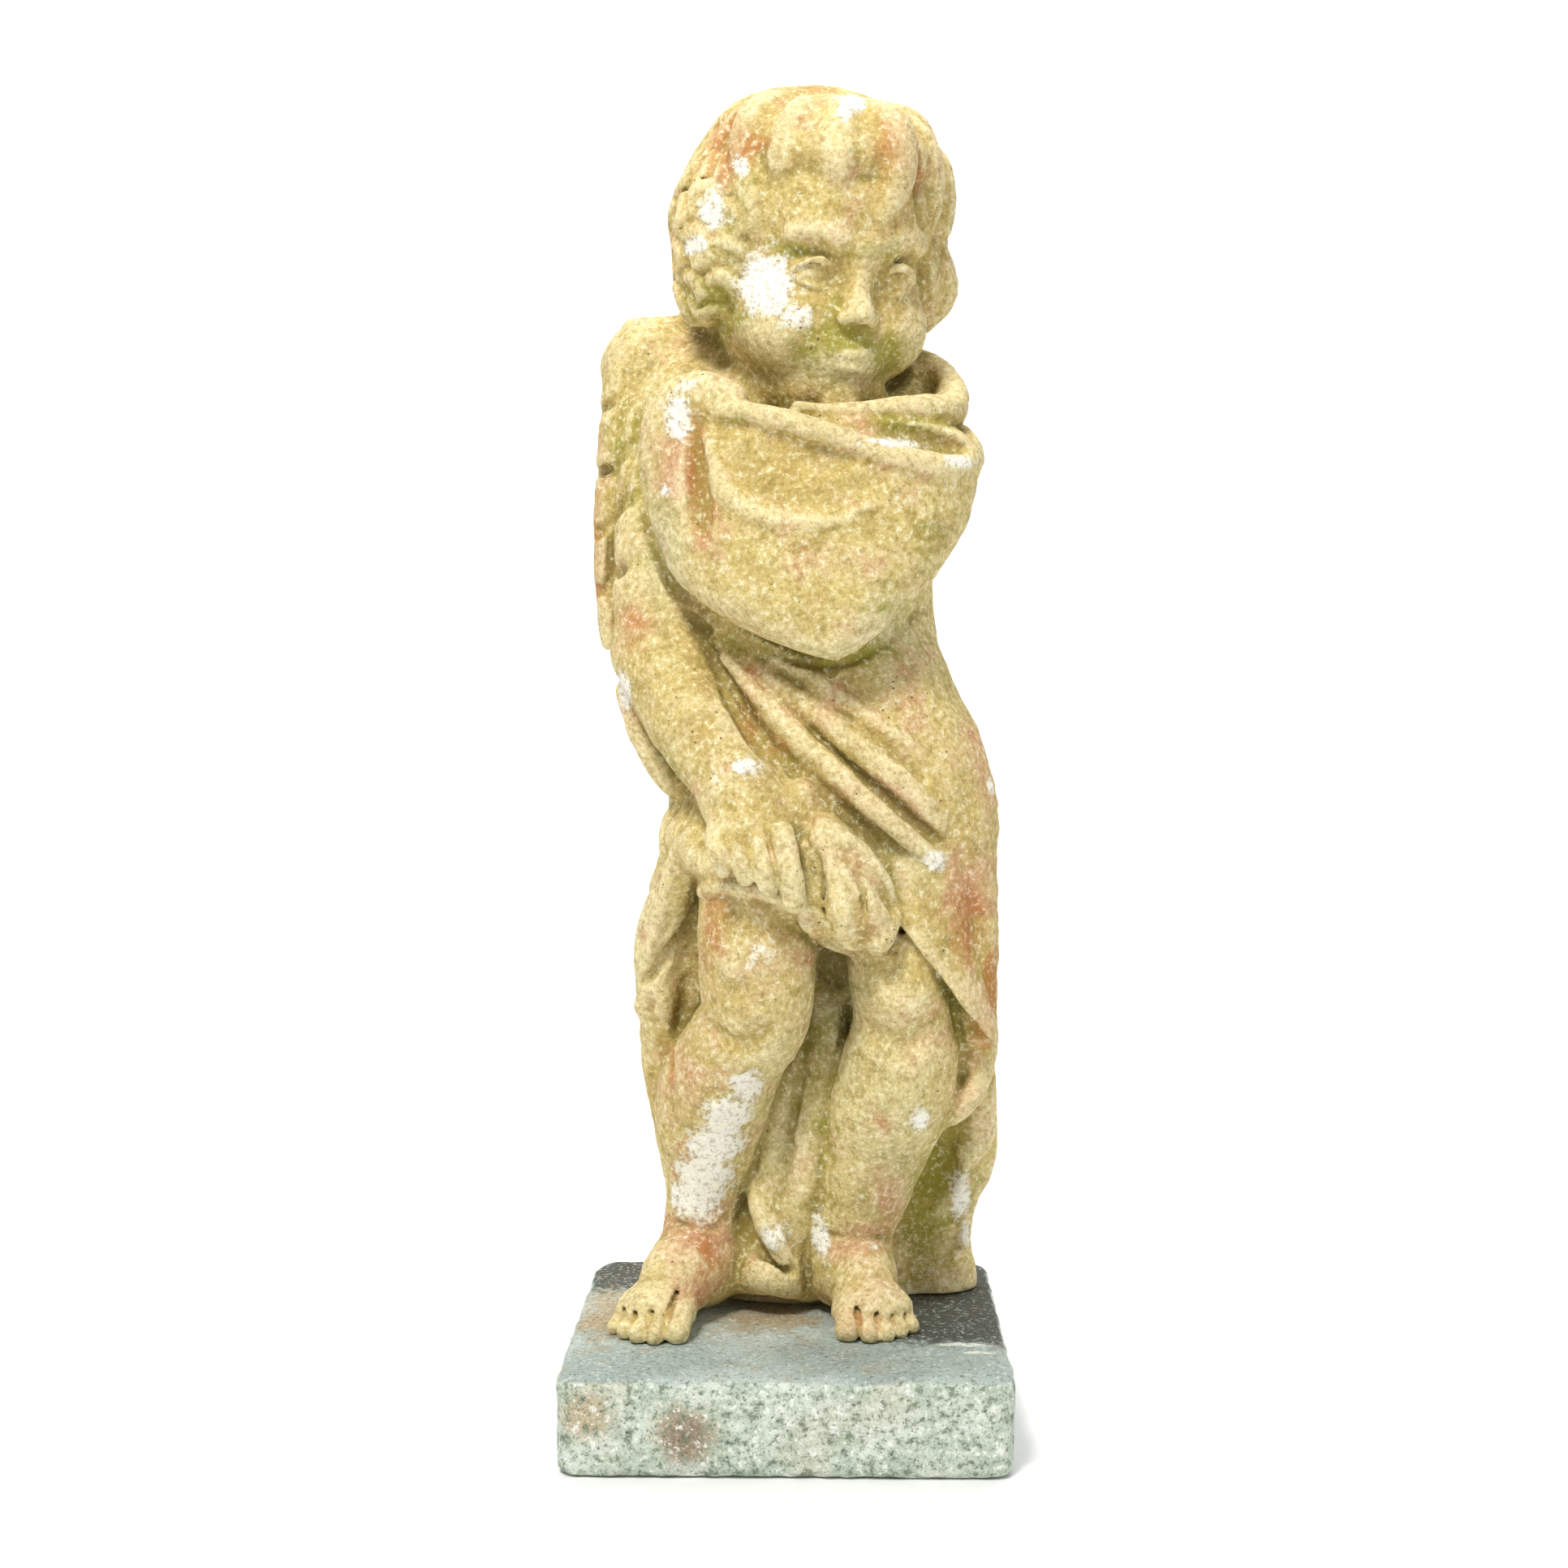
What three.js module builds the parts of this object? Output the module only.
// A garden statue: a child wrapped in a heavy cloak, standing on a square plinth.
// Millimetres, +Z up, +Y towards the back, origin at the bottom centre of the plinth.
//
// The figure is modelled as a sculptor works in clay: round masses are pressed together, folds are
// laid on, hollows are cut out. Each mass is a distance function, negative inside. The clay is a
// grid of distances, its zero surface is meshed with one vertex to a cell, and the mesh is then
// thinned where it is flat.
import * as THREE from "three";

// ---------------------------------------------------------------------------------------------
// Driving dimensions
// ---------------------------------------------------------------------------------------------
const PLINTH_SIDE = 260;
const PLINTH_HEIGHT = 58;
const PLINTH_CORNER = 14;
const PLINTH_EDGE = 4;
const BED_JOINT = 0.3;
const FOOT_LEVEL = PLINTH_HEIGHT + BED_JOINT;

const HEAD_CENTRE = [14, -8, 702];
const HEAD_TURN = 24;
const HEAD_BOW = 12;
const HEAD_TILT = 2;

const CLAY_LOW = [-140, -125, 40];
const CLAY_HIGH = [142, 120, 816];
const CELL = 6.5;
const FIGURE_TRIANGLES = 9000;

// ---------------------------------------------------------------------------------------------
// Small vector helpers
// ---------------------------------------------------------------------------------------------
const dot = (a, b) => a[0] * b[0] + a[1] * b[1] + a[2] * b[2];
const minus = (a, b) => [a[0] - b[0], a[1] - b[1], a[2] - b[2]];
const cross = (a, b) => [
  a[1] * b[2] - a[2] * b[1],
  a[2] * b[0] - a[0] * b[2],
  a[0] * b[1] - a[1] * b[0],
];
const clamp = (value, low, high) => Math.min(Math.max(value, low), high);
const mix = (a, b, t) => a + (b - a) * t;

// The three axes of something rolled about Y, then pitched about X, then yawed about Z (degrees).
function turned(yaw, pitch, roll) {
  const order = new THREE.Euler(
    THREE.MathUtils.degToRad(pitch),
    THREE.MathUtils.degToRad(roll),
    THREE.MathUtils.degToRad(yaw),
    "ZXY",
  );
  const matrix = new THREE.Matrix4().makeRotationFromEuler(order);
  return [0, 4, 8].map((k) => Array.from(matrix.elements.slice(k, k + 3)));
}

// A smooth curve through rows of numbers, with steps points to a span.
function curveThrough(rows, steps) {
  const before = rows[0].map((v, k) => 2 * v - rows[1][k]);
  const last = rows.length - 1;
  const after = rows[last].map((v, k) => 2 * v - rows[last - 1][k]);
  const all = [before, ...rows, after];
  const out = [];
  for (let i = 1; i <= last; i++) {
    for (let s = 0; s < steps; s++) {
      const t = s / steps;
      const at = (a, b, c, d) =>
        b + 0.5 * t * (c - a + t * (2 * a - 5 * b + 4 * c - d + t * (3 * (b - c) + d - a)));
      out.push(all[i].map((b, k) => at(all[i - 1][k], b, all[i + 1][k], all[i + 2][k])));
    }
  }
  out.push(rows[last]);
  return out;
}

// ---------------------------------------------------------------------------------------------
// Masses: each is { distance(x, y, z), low, high }
// ---------------------------------------------------------------------------------------------
const UPRIGHT = [[1, 0, 0], [0, 1, 0], [0, 0, 1]];

// An egg-shaped mass with its own axes.
function egg(centre, radii, axes = UPRIGHT) {
  const reach = [0, 1, 2].map((k) => Math.hypot(...radii.map((r, i) => r * axes[i][k])));
  const distance = (x, y, z) => {
    const d = [x - centre[0], y - centre[1], z - centre[2]];
    let near = 0;
    let slope = 0;
    for (let i = 0; i < 3; i++) {
      const u = dot(d, axes[i]) / radii[i];
      near += u * u;
      slope += (u / radii[i]) ** 2;
    }
    near = Math.sqrt(near);
    return (near * (near - 1)) / Math.max(Math.sqrt(slope), 1e-6);
  };
  return { distance, low: minus(centre, reach), high: centre.map((c, k) => c + reach[k]) };
}

// A round bar along a smooth curve through points, with a radius at each point.
function roll(points, radii, steps = 5) {
  const path = curveThrough(points.map((p, i) => [...p, radii[i]]), steps);
  const most = Math.max(...path.map((p) => p[3]));
  const low = [0, 1, 2].map((k) => Math.min(...path.map((p) => p[k])) - most);
  const high = [0, 1, 2].map((k) => Math.max(...path.map((p) => p[k])) + most);
  const spans = path.slice(1).map((b, i) => {
    const a = path[i];
    const along = minus(b, a);
    return { a, along, square: Math.max(dot(along, along), 1e-9), growth: b[3] - a[3] };
  });
  const distance = (x, y, z) => {
    let best = Infinity;
    for (const { a, along, square, growth } of spans) {
      const px = x - a[0];
      const py = y - a[1];
      const pz = z - a[2];
      const t = clamp((px * along[0] + py * along[1] + pz * along[2]) / square, 0, 1);
      const d = Math.hypot(px - t * along[0], py - t * along[1], pz - t * along[2]);
      best = Math.min(best, d - a[3] - t * growth);
    }
    return best;
  };
  return { distance, low, high };
}

// A standing mass. Stations, low to high: [height, centre x, centre y, half width, half depth].
// Its plan is a rounded shape: power 2 is an ellipse, more is squarer.
function column(stations, power) {
  const rows = curveThrough(stations, 8);
  const lows = rows.map((r) => [r[1] - r[3], r[2] - r[4]]);
  const highs = rows.map((r) => [r[1] + r[3], r[2] + r[4]]);
  const bottom = rows[0][0];
  const top = rows[rows.length - 1][0];
  const low = [Math.min(...lows.map((p) => p[0])), Math.min(...lows.map((p) => p[1])), bottom];
  const high = [Math.max(...highs.map((p) => p[0])), Math.max(...highs.map((p) => p[1])), top];
  const distance = (x, y, z) => {
    const level = clamp(z, bottom, top);
    let i = 0;
    while (i < rows.length - 2 && rows[i + 1][0] < level) i++;
    const t = (level - rows[i][0]) / (rows[i + 1][0] - rows[i][0]);
    const [cx, cy, rx, ry] = [1, 2, 3, 4].map((k) => mix(rows[i][k], rows[i + 1][k], t));
    const u = Math.abs((x - cx) / rx) ** power + Math.abs((y - cy) / ry) ** power;
    const side = (u ** (1 / power) - 1) * Math.min(rx, ry);
    return Math.max(side, bottom - z, z - top);
  };
  return { distance, low, high };
}

// ---------------------------------------------------------------------------------------------
// The clay: a grid of distances
// ---------------------------------------------------------------------------------------------
class Clay {
  constructor(low, high, cell) {
    this.low = low;
    this.cell = cell;
    this.count = low.map((v, k) => Math.ceil((high[k] - v) / cell) + 1);
    this.stride = [1, this.count[0], this.count[0] * this.count[1]];
    this.field = new Float32Array(this.count[0] * this.count[1] * this.count[2]).fill(200);
  }

  // Calls change(index, x, y, z) at each grid point in a box.
  visit(low, high, change) {
    const { low: base, cell, count, stride } = this;
    const from = low.map((v, k) => clamp(Math.floor((v - base[k]) / cell), 0, count[k]));
    const to = high.map((v, k) => clamp(Math.ceil((v - base[k]) / cell) + 1, 0, count[k]));
    for (let k = from[2]; k < to[2]; k++) {
      for (let j = from[1]; j < to[1]; j++) {
        for (let i = from[0]; i < to[0]; i++) {
          const index = i + j * stride[1] + k * stride[2];
          change(index, base[0] + i * cell, base[1] + j * cell, base[2] + k * cell);
        }
      }
    }
  }

  // Presses a mass on. Where it meets the clay, the joint is filled over the blend distance.
  add(mass, blend = 8) {
    const room = blend + 2 * this.cell;
    const grow = (box, by) => box.map((v) => v + by);
    this.visit(grow(mass.low, -room), grow(mass.high, room), (index, x, y, z) => {
      const a = this.field[index];
      const b = mass.distance(x, y, z);
      const near = Math.max(blend - Math.abs(a - b), 0);
      this.field[index] = Math.min(a, b) - (blend ? (near * near) / (4 * blend) : 0);
    });
  }

  // Cuts a mass out, with an edge rounded over the blend distance.
  carve(mass, blend = 6) {
    const room = blend + 2 * this.cell;
    const grow = (box, by) => box.map((v) => v + by);
    this.visit(grow(mass.low, -room), grow(mass.high, room), (index, x, y, z) => {
      const a = this.field[index];
      const b = -mass.distance(x, y, z);
      const near = Math.max(blend - Math.abs(a - b), 0);
      this.field[index] = Math.max(a, b) + (near * near) / (4 * blend);
    });
  }

  // The clay is cut off level, just above the plinth.
  cutBelow(level) {
    const high = this.low.map((v, k) => v + (this.count[k] - 1) * this.cell);
    this.visit(this.low, high, (index, x, y, z) => {
      this.field[index] = Math.max(this.field[index], level - z);
    });
  }

  // How far back the front of the clay is at (x, z).
  front(x, z) {
    const { low, cell, count, stride, field } = this;
    const u = clamp((x - low[0]) / cell, 0, count[0] - 1.001);
    const w = clamp((z - low[2]) / cell, 0, count[2] - 1.001);
    const i = Math.floor(u);
    const k = Math.floor(w);
    const value = (j) => {
      const at = i + j * stride[1] + k * stride[2];
      const under = mix(field[at], field[at + 1], u - i);
      const over = mix(field[at + stride[2]], field[at + stride[2] + 1], u - i);
      return mix(under, over, w - k);
    };
    for (let j = 1; j < count[1]; j++) {
      const outer = value(j - 1);
      const inner = value(j);
      if (inner < 0 && outer >= 0) return low[1] + (j - 1 + outer / (outer - inner)) * cell;
    }
    return 0;
  }

  // A fold laid on the front along (x, z) points, sunk below the surface by sink.
  fold(points, radii, sink = 2, blend = 6) {
    const path = points.map(([x, z]) => [x, this.front(x, z) + sink, z]);
    this.add(roll(path, radii), blend);
  }

  // A valley cut into the front along (x, z) points, its middle lifted off the surface.
  groove(points, radii, lift = 1, blend = 6) {
    const path = points.map(([x, z]) => [x, this.front(x, z) - lift, z]);
    this.carve(roll(path, radii), blend);
  }
}

// ---------------------------------------------------------------------------------------------
// The figure, mass by mass
// ---------------------------------------------------------------------------------------------

// The cloak falls down the back to the plinth and closes round the shoulders.
function modelCloakBack(clay) {
  const back = [
    [40, 12, 60, 70, 38],
    [110, 12, 60, 82, 42],
    [155, 13, 57, 92, 45],
    [200, 16, 53, 99, 49],
    [240, 20, 49, 110, 53],
    [280, 18.5, 43, 111, 58],
    [320, 20, 36, 107, 64],
    [360, 26, 30, 98, 70],
    [410, 23, 26, 87, 72],
    [450, 12, 26, 80, 68],
    [485, 4, 27, 76, 64],
    [520, 2, 28, 84, 64],
    [560, 0, 29, 98, 64],
    [600, -3, 32, 104, 61],
    [632, -2, 36, 90, 52],
    [656, 2, 40, 56, 38],
    [668, 4, 42, 20, 16],
  ];
  clay.add(column(back, 2.2), 0);
}

// Chest, belly and hips under the cloth.
function modelTrunk(clay) {
  const trunk = [
    [296, 44, 2, 62, 50],
    [330, 36, 0, 80, 62],
    [360, 30, -4, 90, 66],
    [390, 28, -6, 86, 66],
    [420, 20, -4, 84, 62],
    [450, 12, 0, 80, 57],
    [485, 4, 4, 78, 52],
    [520, 4, 6, 84, 54],
    [560, 2, 8, 90, 56],
    [600, 0, 10, 84, 50],
    [625, 2, 14, 60, 38],
  ];
  clay.add(column(trunk, 2.4), 14);
}

// The cloak is heaped up behind the right shoulder and rises round the neck.
function modelShoulderHeap(clay) {
  clay.add(egg([-84, 42, 612], [34, 38, 52]), 12);
  clay.add(egg([-86, 44, 636], [25, 30, 27]), 8);
  clay.add(egg([-62, 50, 634], [34, 34, 32]), 10);
  const edge = [[-92, 42, 600], [-99, 42, 560], [-101, 40, 515], [-104, 34, 480]];
  clay.add(roll(edge, [27, 22, 20, 12]), 10);
  const collar = [[-60, 46, 642], [-20, 66, 648], [34, 62, 646], [72, 36, 640], [90, 8, 624]];
  clay.add(roll(collar, [15, 15, 14, 13, 12]), 10);
  clay.add(roll([[4, 20, 585], [8, 6, 650]], [42, 40]), 12);
}

// The right arm comes down at the side and crosses to the front of the thigh.
function modelArm(clay) {
  const upper = [[-64, 6, 590], [-74, 0, 540], [-75, -6, 490], [-72, -10, 455]];
  clay.add(roll(upper, [34, 29, 28, 29]), 12);
  const lower = [[-70, -12, 455], [-61, -32, 425], [-47, -52, 403], [-36, -64, 388]];
  clay.add(roll(lower, [30, 28, 24, 20]), 8);
}

// Long folds pulled across the body towards the hand.
function modelLongFolds(clay) {
  const lower = [[-46, 478], [-28, 440], [2, 402], [36, 370], [88, 340]];
  clay.fold(lower, [8, 11, 12, 11, 7], 3, 7);
  const upper = [[-42, 500], [-10, 466], [26, 438], [60, 420], [88, 404]];
  clay.fold(upper, [8, 9, 10, 9, 5], 5, 9);
  clay.groove([[-34, 450], [-18, 420], [2, 392]], [5, 7, 4], 1);
}

// The cloak hangs across the chest in a deep pouch that comes to a point.
function modelPouch(clay) {
  const pouch = [
    [457, 22, -80, 3, 5],
    [463, 20, -77, 13, 14],
    [476, 15, -68, 33, 27],
    [492, 10, -60, 52, 36],
    [506, 10, -54, 67, 42],
    [520, 12, -49, 82, 46],
    [550, 14, -42, 93, 52],
    [575, 14, -38, 96, 54],
    [590, 13, -36, 94, 50],
    [602, 9, -34, 86, 44],
  ];
  clay.add(column(pouch, 2.3), 4);
  const lump = [[-30, -72, 600], [-50, -58, 605], [-64, -40, 597], [-68, -30, 572]];
  clay.add(roll(lump, [12, 17, 21, 19]), 12);
  const hollow = [[-6, -40, 622], [34, -46, 612], [72, -38, 602], [88, -10, 612]];
  clay.carve(roll(hollow, [20, 24, 22, 14]), 8);
  const collar = [[4, -70, 598], [34, -66, 602], [66, -52, 610], [88, -26, 617], [95, 4, 622]];
  clay.add(roll(collar, [5, 7, 8, 10, 11]), 4);
  clay.groove([[-44, 575], [-40, 556], [-40, 536]], [5, 6, 3], 1, 8);
  clay.groove([[-32, 580], [-14, 562], [14, 548], [48, 546]], [3, 6, 5, 2], 2, 12);
}

// Cloth round the left hip, down to its hem beside the left knee.
function modelHipCloth(clay) {
  const hip = [[84, -10, 395], [97, -22, 350], [107, -26, 300], [113, -22, 262], [116, -14, 238]];
  clay.add(roll(hip, [28, 28, 22, 17, 12]), 14);
  clay.add(egg([106, 6, 226], [22, 26, 36]), 8);
  clay.add(roll([[120, 0, 214], [110, -8, 190], [92, -12, 176]], [8, 8, 7]), 6);
  clay.add(roll([[110, 26, 220], [113, 26, 180], [110, 34, 150]], [15, 14, 12]), 8);
}

// Bare legs with heavy calves, and feet.
function modelLegs(clay) {
  const right = [
    [-8, -6, 370],
    [-16, -32, 315],
    [-20, -36, 282],
    [-30, -26, 240],
    [-43, -6, 195],
    [-52, 6, 150],
    [-54, 10, 112],
    [-54, 10, 84],
  ];
  clay.add(roll(right, [44, 37, 35, 32, 32, 31, 25, 25]), 5);
  const left = [
    [60, 0, 360],
    [72, -20, 305],
    [68, -26, 265],
    [62, -16, 225],
    [57, -4, 185],
    [52, 4, 155],
    [38, 12, 116],
    [37, 14, 86],
  ];
  clay.add(roll(left, [44, 38, 33, 33, 36, 33, 27, 27]), 5);
  clay.add(roll([[-48, 16, 80], [-60, -14, 80], [-72, -40, 72]], [25, 22, 15]), 8);
  clay.add(roll([[38, 16, 80], [44, -14, 80], [50, -38, 72]], [25, 21, 15]), 8);
  for (let toe = 0; toe < 5; toe++) {
    const t = toe / 4;
    const size = [9 - 2 * t, 8 - 2 * t];
    const rightRoot = [-62 - 30 * t, -46 + 6 * t, 68];
    const rightTip = [-64 - 34 * t, -62 + 14 * t * t, 65];
    clay.add(roll([rightRoot, rightTip], size), 3);
    const leftRoot = [41 + 20 * t, -44 + 2 * t, 68];
    const leftTip = [39 + 26 * t, -58 + 10 * t * t, 65];
    clay.add(roll([leftRoot, leftTip], size), 3);
  }
}

// Cloth over the right thigh, and the drape that hangs outside the right leg.
function modelThighCloth(clay) {
  const hem = [[-62, -22, 350], [-38, -54, 342], [-8, -68, 334], [14, -70, 316]];
  clay.add(roll(hem, [15, 16, 14, 10]), 12);
  clay.add(roll([[-74, -8, 430], [-71, 0, 395], [-65, 8, 374]], [23, 17, 8]), 6);
  const drape = [[-46, -30, 362], [-64, -16, 338], [-78, -2, 300], [-80, 6, 268], [-74, 12, 245]];
  clay.add(roll(drape, [16, 16, 15, 14, 12]), 8);
  clay.add(roll([[-76, 12, 250], [-70, 24, 200], [-66, 34, 140]], [12, 12, 10]), 10);
}

// The right hand grips a bunch of the cloth.
function modelHand(clay) {
  clay.add(egg([-27, -75, 368], [23, 18, 30], turned(0, 0, -8)), 8);
  for (let finger = 0; finger < 4; finger++) {
    const t = finger / 3;
    const x = -42 + 44 * t;
    const root = [x + 4, -84 - 4 * t, 368];
    const knuckle = [x, -95 - 3 * t, 352];
    const tip = [x + 3 + 2 * t, -93 - 3 * t, 340 - 16 * t * t];
    clay.add(roll([root, knuckle, tip], [8.5, 8, 6.5]), 3);
  }
  clay.add(egg([34, -68, 322], [24, 22, 34], turned(0, 0, -20)), 6);
  for (let pleat = 0; pleat < 4; pleat++) {
    const t = pleat / 3;
    const top = [8 + 6 * t, -86, 366];
    const middle = [14 + 24 * t, -91, 336];
    const end = [22 + 34 * t, -86 + 4 * t, 300 + 8 * t];
    clay.add(roll([top, middle, end], [4, 7, 6.5]), 3);
  }
}

// The head, turned to its left and bowed, under a cap of short hair.
function modelHead(clay) {
  const axes = turned(HEAD_TURN, HEAD_BOW, HEAD_TILT);
  const at = (p) => HEAD_CENTRE.map((c, k) => c + p[0] * axes[0][k] + p[1] * axes[1][k] + p[2] * axes[2][k]);
  clay.add(egg(at([0, 10, 10]), [75, 82, 78], axes), 6);
  clay.add(egg(at([0, -16, -36]), [58, 60, 54], axes), 16);
  clay.add(egg(at([28, -44, -42]), [26, 25, 27], axes), 12);
  clay.add(egg(at([-28, -44, -42]), [26, 25, 27], axes), 12);
  clay.add(egg(at([0, -62, -74]), [18, 17, 14], axes), 10);
  clay.add(roll([at([0, -76, -10]), at([0, -86, -34])], [5, 8]), 7);
  clay.add(egg(at([4, 16, 30]), [78, 76, 66], axes), 8);
  clay.add(egg(at([60, 8, 0]), [22, 34, 46], axes), 8);
  clay.add(egg(at([-60, 8, 0]), [22, 34, 46], axes), 8);
}

// The rock that props the figure behind the left leg, with a hollow beside the calf.
function modelRock(clay) {
  const rock = [
    [40, 84, 50, 34, 26],
    [72, 84, 50, 34, 26],
    [95, 84, 48, 27, 24],
    [120, 88, 46, 27, 26],
    [150, 98, 42, 28, 26],
    [180, 102, 36, 28, 26],
    [215, 98, 30, 29, 28],
    [250, 100, 20, 26, 26],
  ];
  clay.add(column(rock, 2), 8);
  clay.carve(egg([92, 8, 140], [18, 26, 44], turned(0, 0, 20)));
}

// ---------------------------------------------------------------------------------------------
// From clay to a mesh
// ---------------------------------------------------------------------------------------------

// The eight corners of a cell, and which of them share an edge.
const CORNERS = [0, 1, 2, 3, 4, 5, 6, 7].map((c) => [c & 1, (c >> 1) & 1, c >> 2]);

// Whether the corners with the given sign hang together along the edges of the cell.
function joined(mask, wanted) {
  const members = CORNERS.map((_, c) => c).filter((c) => ((mask >> c) & 1) === wanted);
  const reached = new Set(members.slice(0, 1));
  for (const c of reached) {
    for (const step of [1, 2, 4]) {
      if (members.includes(c ^ step)) reached.add(c ^ step);
    }
  }
  return reached.size === members.length;
}

const SIMPLE = Array.from({ length: 256 }, (_, mask) => joined(mask, 0) && joined(mask, 1));

// Fills the corners of cells that two sheets of the surface would share, which can't be meshed
// with one vertex.
function fillTightCells(clay) {
  const { count, stride, field } = clay;
  const offsets = CORNERS.map((c) => c[0] + c[1] * stride[1] + c[2] * stride[2]);
  let changed = true;
  while (changed) {
    changed = false;
    for (let k = 0; k < count[2] - 1; k++) {
      for (let j = 0; j < count[1] - 1; j++) {
        for (let i = 0; i < count[0] - 1; i++) {
          const base = i + j * stride[1] + k * stride[2];
          const mask = offsets.reduce((m, o, c) => m | (field[base + o] < 0 ? 1 << c : 0), 0);
          if (SIMPLE[mask]) continue;
          const outside = offsets.filter((o) => field[base + o] >= 0);
          const nearest = outside.reduce((a, b) => (field[base + a] < field[base + b] ? a : b));
          field[base + nearest] = -0.1;
          changed = true;
        }
      }
    }
  }
}

// One vertex in each cell that the surface crosses, four round each crossed edge.
function surfaceOf(clay) {
  const { low, cell, count, stride, field } = clay;
  const names = new Map();
  const points = [];
  const triangles = [];
  const place = (i, j, k) => {
    const base = i + j * stride[1] + k * stride[2];
    if (names.has(base)) return names.get(base);
    const sum = [0, 0, 0];
    let hits = 0;
    for (let c = 0; c < 8; c++) {
      for (let axis = 0; axis < 3; axis++) {
        const from = CORNERS[c];
        if (from[axis]) continue;
        const a = field[base + from[0] + from[1] * stride[1] + from[2] * stride[2]];
        const b = field[base + from[0] + from[1] * stride[1] + from[2] * stride[2] + stride[axis]];
        if (a < 0 === b < 0) continue;
        for (let n = 0; n < 3; n++) sum[n] += from[n] + (n === axis ? a / (a - b) : 0);
        hits++;
      }
    }
    const cellAt = [i, j, k];
    points.push(sum.map((v, n) => low[n] + (cellAt[n] + v / hits) * cell));
    names.set(base, points.length - 1);
    return points.length - 1;
  };
  for (let k = 1; k < count[2] - 1; k++) {
    for (let j = 1; j < count[1] - 1; j++) {
      for (let i = 1; i < count[0] - 1; i++) {
        const base = i + j * stride[1] + k * stride[2];
        for (let axis = 0; axis < 3; axis++) {
          const inside = field[base] < 0;
          if (inside === field[base + stride[axis]] < 0) continue;
          const u = CORNERS[1 << (axis + 1) % 3];
          const v = CORNERS[1 << (axis + 2) % 3];
          const ring = [
            place(i, j, k),
            place(i - u[0], j - u[1], k - u[2]),
            place(i - u[0] - v[0], j - u[1] - v[1], k - u[2] - v[2]),
            place(i - v[0], j - v[1], k - v[2]),
          ];
          if (!inside) ring.reverse();
          triangles.push([ring[0], ring[1], ring[2]], [ring[0], ring[2], ring[3]]);
        }
      }
    }
  }
  return { points, triangles };
}

// The error of a point against the planes gathered in a vertex: a symmetric 4 by 4 form.
function planeForm(normal, offset) {
  const n = [...normal, offset];
  return [0, 1, 2, 3].flatMap((i) => [0, 1, 2, 3].slice(i).map((j) => n[i] * n[j]));
}

function formError(q, [x, y, z]) {
  const square = q[0] * x * x + q[4] * y * y + q[7] * z * z;
  const mixed = q[1] * x * y + q[2] * x * z + q[5] * y * z;
  return square + 2 * mixed + 2 * (q[3] * x + q[6] * y + q[8] * z) + q[9];
}

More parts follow.
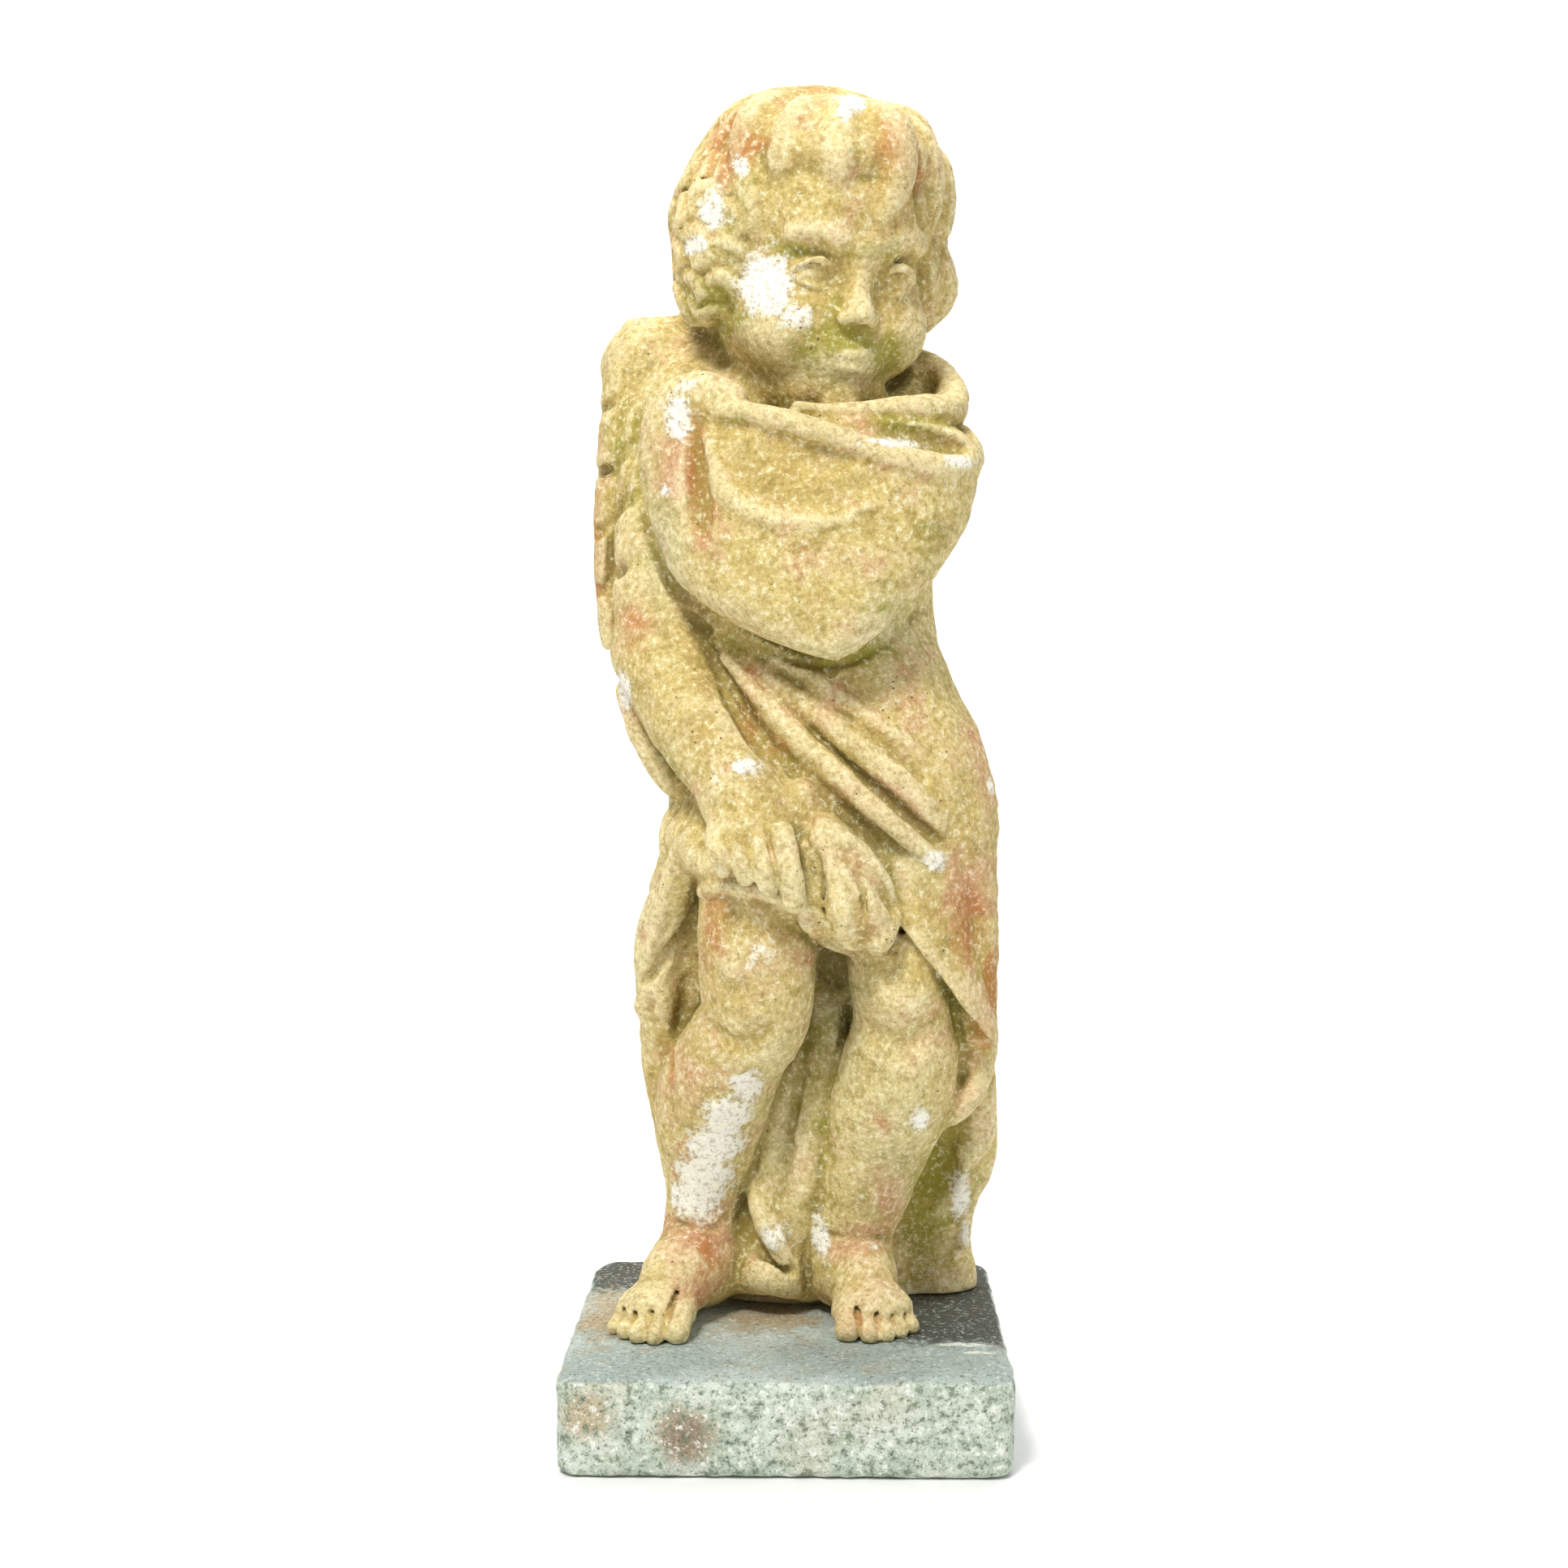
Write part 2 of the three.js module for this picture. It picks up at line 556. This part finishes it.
// Thins a closed mesh to a number of triangles: again and again, the edge whose loss moves the
// surface least is drawn together to one point.
function thin({ points, triangles }, target) {
  const faces = triangles.map((t) => [...t]);
  const around = points.map(() => new Set());
  const forms = points.map(() => new Array(10).fill(0));
  const normalOf = ([a, b, c]) => {
    const n = cross(minus(points[b], points[a]), minus(points[c], points[a]));
    const size = Math.hypot(...n) || 1;
    return n.map((v) => v / size);
  };
  faces.forEach((face, f) => {
    const n = normalOf(face);
    const form = planeForm(n, -dot(n, points[face[0]]));
    for (const v of face) {
      around[v].add(f);
      form.forEach((value, i) => (forms[v][i] += value));
    }
  });
  const version = points.map(() => 0);
  const neighbours = (v) => new Set([...around[v]].flatMap((f) => faces[f]).filter((w) => w !== v));
  const candidate = (a, b) => {
    const form = forms[a].map((value, i) => value + forms[b][i]);
    const middle = points[a].map((value, k) => (value + points[b][k]) / 2);
    const spots = [middle, points[a], points[b]];
    const errors = spots.map((p) => formError(form, p));
    const least = errors.indexOf(Math.min(...errors));
    const length = Math.hypot(...minus(points[a], points[b]));
    const cost = errors[least] + 1e-4 * length * length;
    return { a, b, cost, spot: spots[least], stamp: version[a] + version[b] };
  };
  const heap = [];
  const push = (item) => {
    let i = heap.push(item) - 1;
    while (i && heap[(i - 1) >> 1].cost > item.cost) {
      heap[i] = heap[(i - 1) >> 1];
      i = (i - 1) >> 1;
    }
    heap[i] = item;
  };
  const pop = () => {
    const top = heap[0];
    const item = heap.pop();
    if (!heap.length) return top;
    let i = 0;
    for (let child = 1; child < heap.length; child = 2 * i + 1) {
      if (child + 1 < heap.length && heap[child + 1].cost < heap[child].cost) child++;
      if (heap[child].cost >= item.cost) break;
      heap[i] = heap[child];
      i = child;
    }
    heap[i] = item;
    return top;
  };
  const turnsOver = (v, other, spot) => {
    for (const f of around[v]) {
      if (faces[f].includes(other)) continue;
      const before = normalOf(faces[f]);
      const [p, q, r] = faces[f].map((w) => (w === v ? spot : points[w]));
      const after = cross(minus(q, p), minus(r, p));
      if (dot(before, after) < 0.3 * Math.hypot(...after)) return true;
    }
    return false;
  };
  points.forEach((_, a) => {
    for (const b of neighbours(a)) if (a < b) push(candidate(a, b));
  });
  const gone = points.map(() => false);
  let left = faces.length;
  while (left > target && heap.length) {
    const { a, b, spot, stamp } = pop();
    if (gone[a] || gone[b] || stamp !== version[a] + version[b]) continue;
    const shared = [...neighbours(a)].filter((v) => neighbours(b).has(v));
    if (shared.length !== 2 || turnsOver(a, b, spot) || turnsOver(b, a, spot)) continue;
    for (const f of around[b]) {
      if (faces[f].includes(a)) {
        faces[f].forEach((v) => around[v].delete(f));
        faces[f] = null;
        left--;
      } else {
        faces[f] = faces[f].map((v) => (v === b ? a : v));
        around[a].add(f);
      }
    }
    gone[b] = true;
    points[a] = spot;
    forms[b].forEach((value, i) => (forms[a][i] += value));
    for (const v of neighbours(a)) version[v]++;
    version[a]++;
    for (const v of neighbours(a)) {
      for (const w of neighbours(v)) push(candidate(Math.min(v, w), Math.max(v, w)));
    }
  }
  return { points, triangles: faces.filter(Boolean) };
}

function geometryOf({ points, triangles }) {
  const flat = triangles.flatMap((t) => t.flatMap((v) => points[v]));
  const geometry = new THREE.BufferGeometry();
  geometry.setAttribute("position", new THREE.Float32BufferAttribute(flat, 3));
  geometry.computeVertexNormals();
  return geometry;
}

// ---------------------------------------------------------------------------------------------
// The two pieces
// ---------------------------------------------------------------------------------------------
function makeFigure() {
  const clay = new Clay(CLAY_LOW, CLAY_HIGH, CELL);
  modelCloakBack(clay);
  modelTrunk(clay);
  modelShoulderHeap(clay);
  modelArm(clay);
  modelLongFolds(clay);
  modelPouch(clay);
  modelHipCloth(clay);
  modelLegs(clay);
  modelThighCloth(clay);
  modelHand(clay);
  modelHead(clay);
  modelRock(clay);
  clay.cutBelow(FOOT_LEVEL);
  fillTightCells(clay);
  const mesh = thin(surfaceOf(clay), FIGURE_TRIANGLES);
  for (const p of mesh.points) p[2] = Math.max(p[2], FOOT_LEVEL);
  const stone = new THREE.MeshStandardMaterial({ color: 0xcdb57c, roughness: 0.92, metalness: 0 });
  const figure = new THREE.Mesh(geometryOf(mesh), stone);
  figure.name = "figure";
  return figure;
}

function makePlinth() {
  const half = PLINTH_SIDE / 2 - PLINTH_EDGE;
  const corner = PLINTH_CORNER - PLINTH_EDGE;
  const outline = new THREE.Shape();
  outline.absarc(half - corner, half - corner, corner, 0, Math.PI / 2);
  outline.absarc(corner - half, half - corner, corner, Math.PI / 2, Math.PI);
  outline.absarc(corner - half, corner - half, corner, Math.PI, 1.5 * Math.PI);
  outline.absarc(half - corner, corner - half, corner, 1.5 * Math.PI, 2 * Math.PI);
  const block = new THREE.ExtrudeGeometry(outline, {
    depth: PLINTH_HEIGHT - 2 * PLINTH_EDGE,
    curveSegments: 5,
    bevelThickness: PLINTH_EDGE,
    bevelSize: PLINTH_EDGE,
    bevelSegments: 3,
  });
  const stone = new THREE.MeshStandardMaterial({ color: 0xa9ab98, roughness: 0.95, metalness: 0 });
  const plinth = new THREE.Mesh(block, stone);
  plinth.name = "plinth";
  plinth.position.z = PLINTH_EDGE;
  return plinth;
}

const statue = new THREE.Group();
statue.name = "putto_statue";
statue.add(makePlinth(), makeFigure());

export default statue;
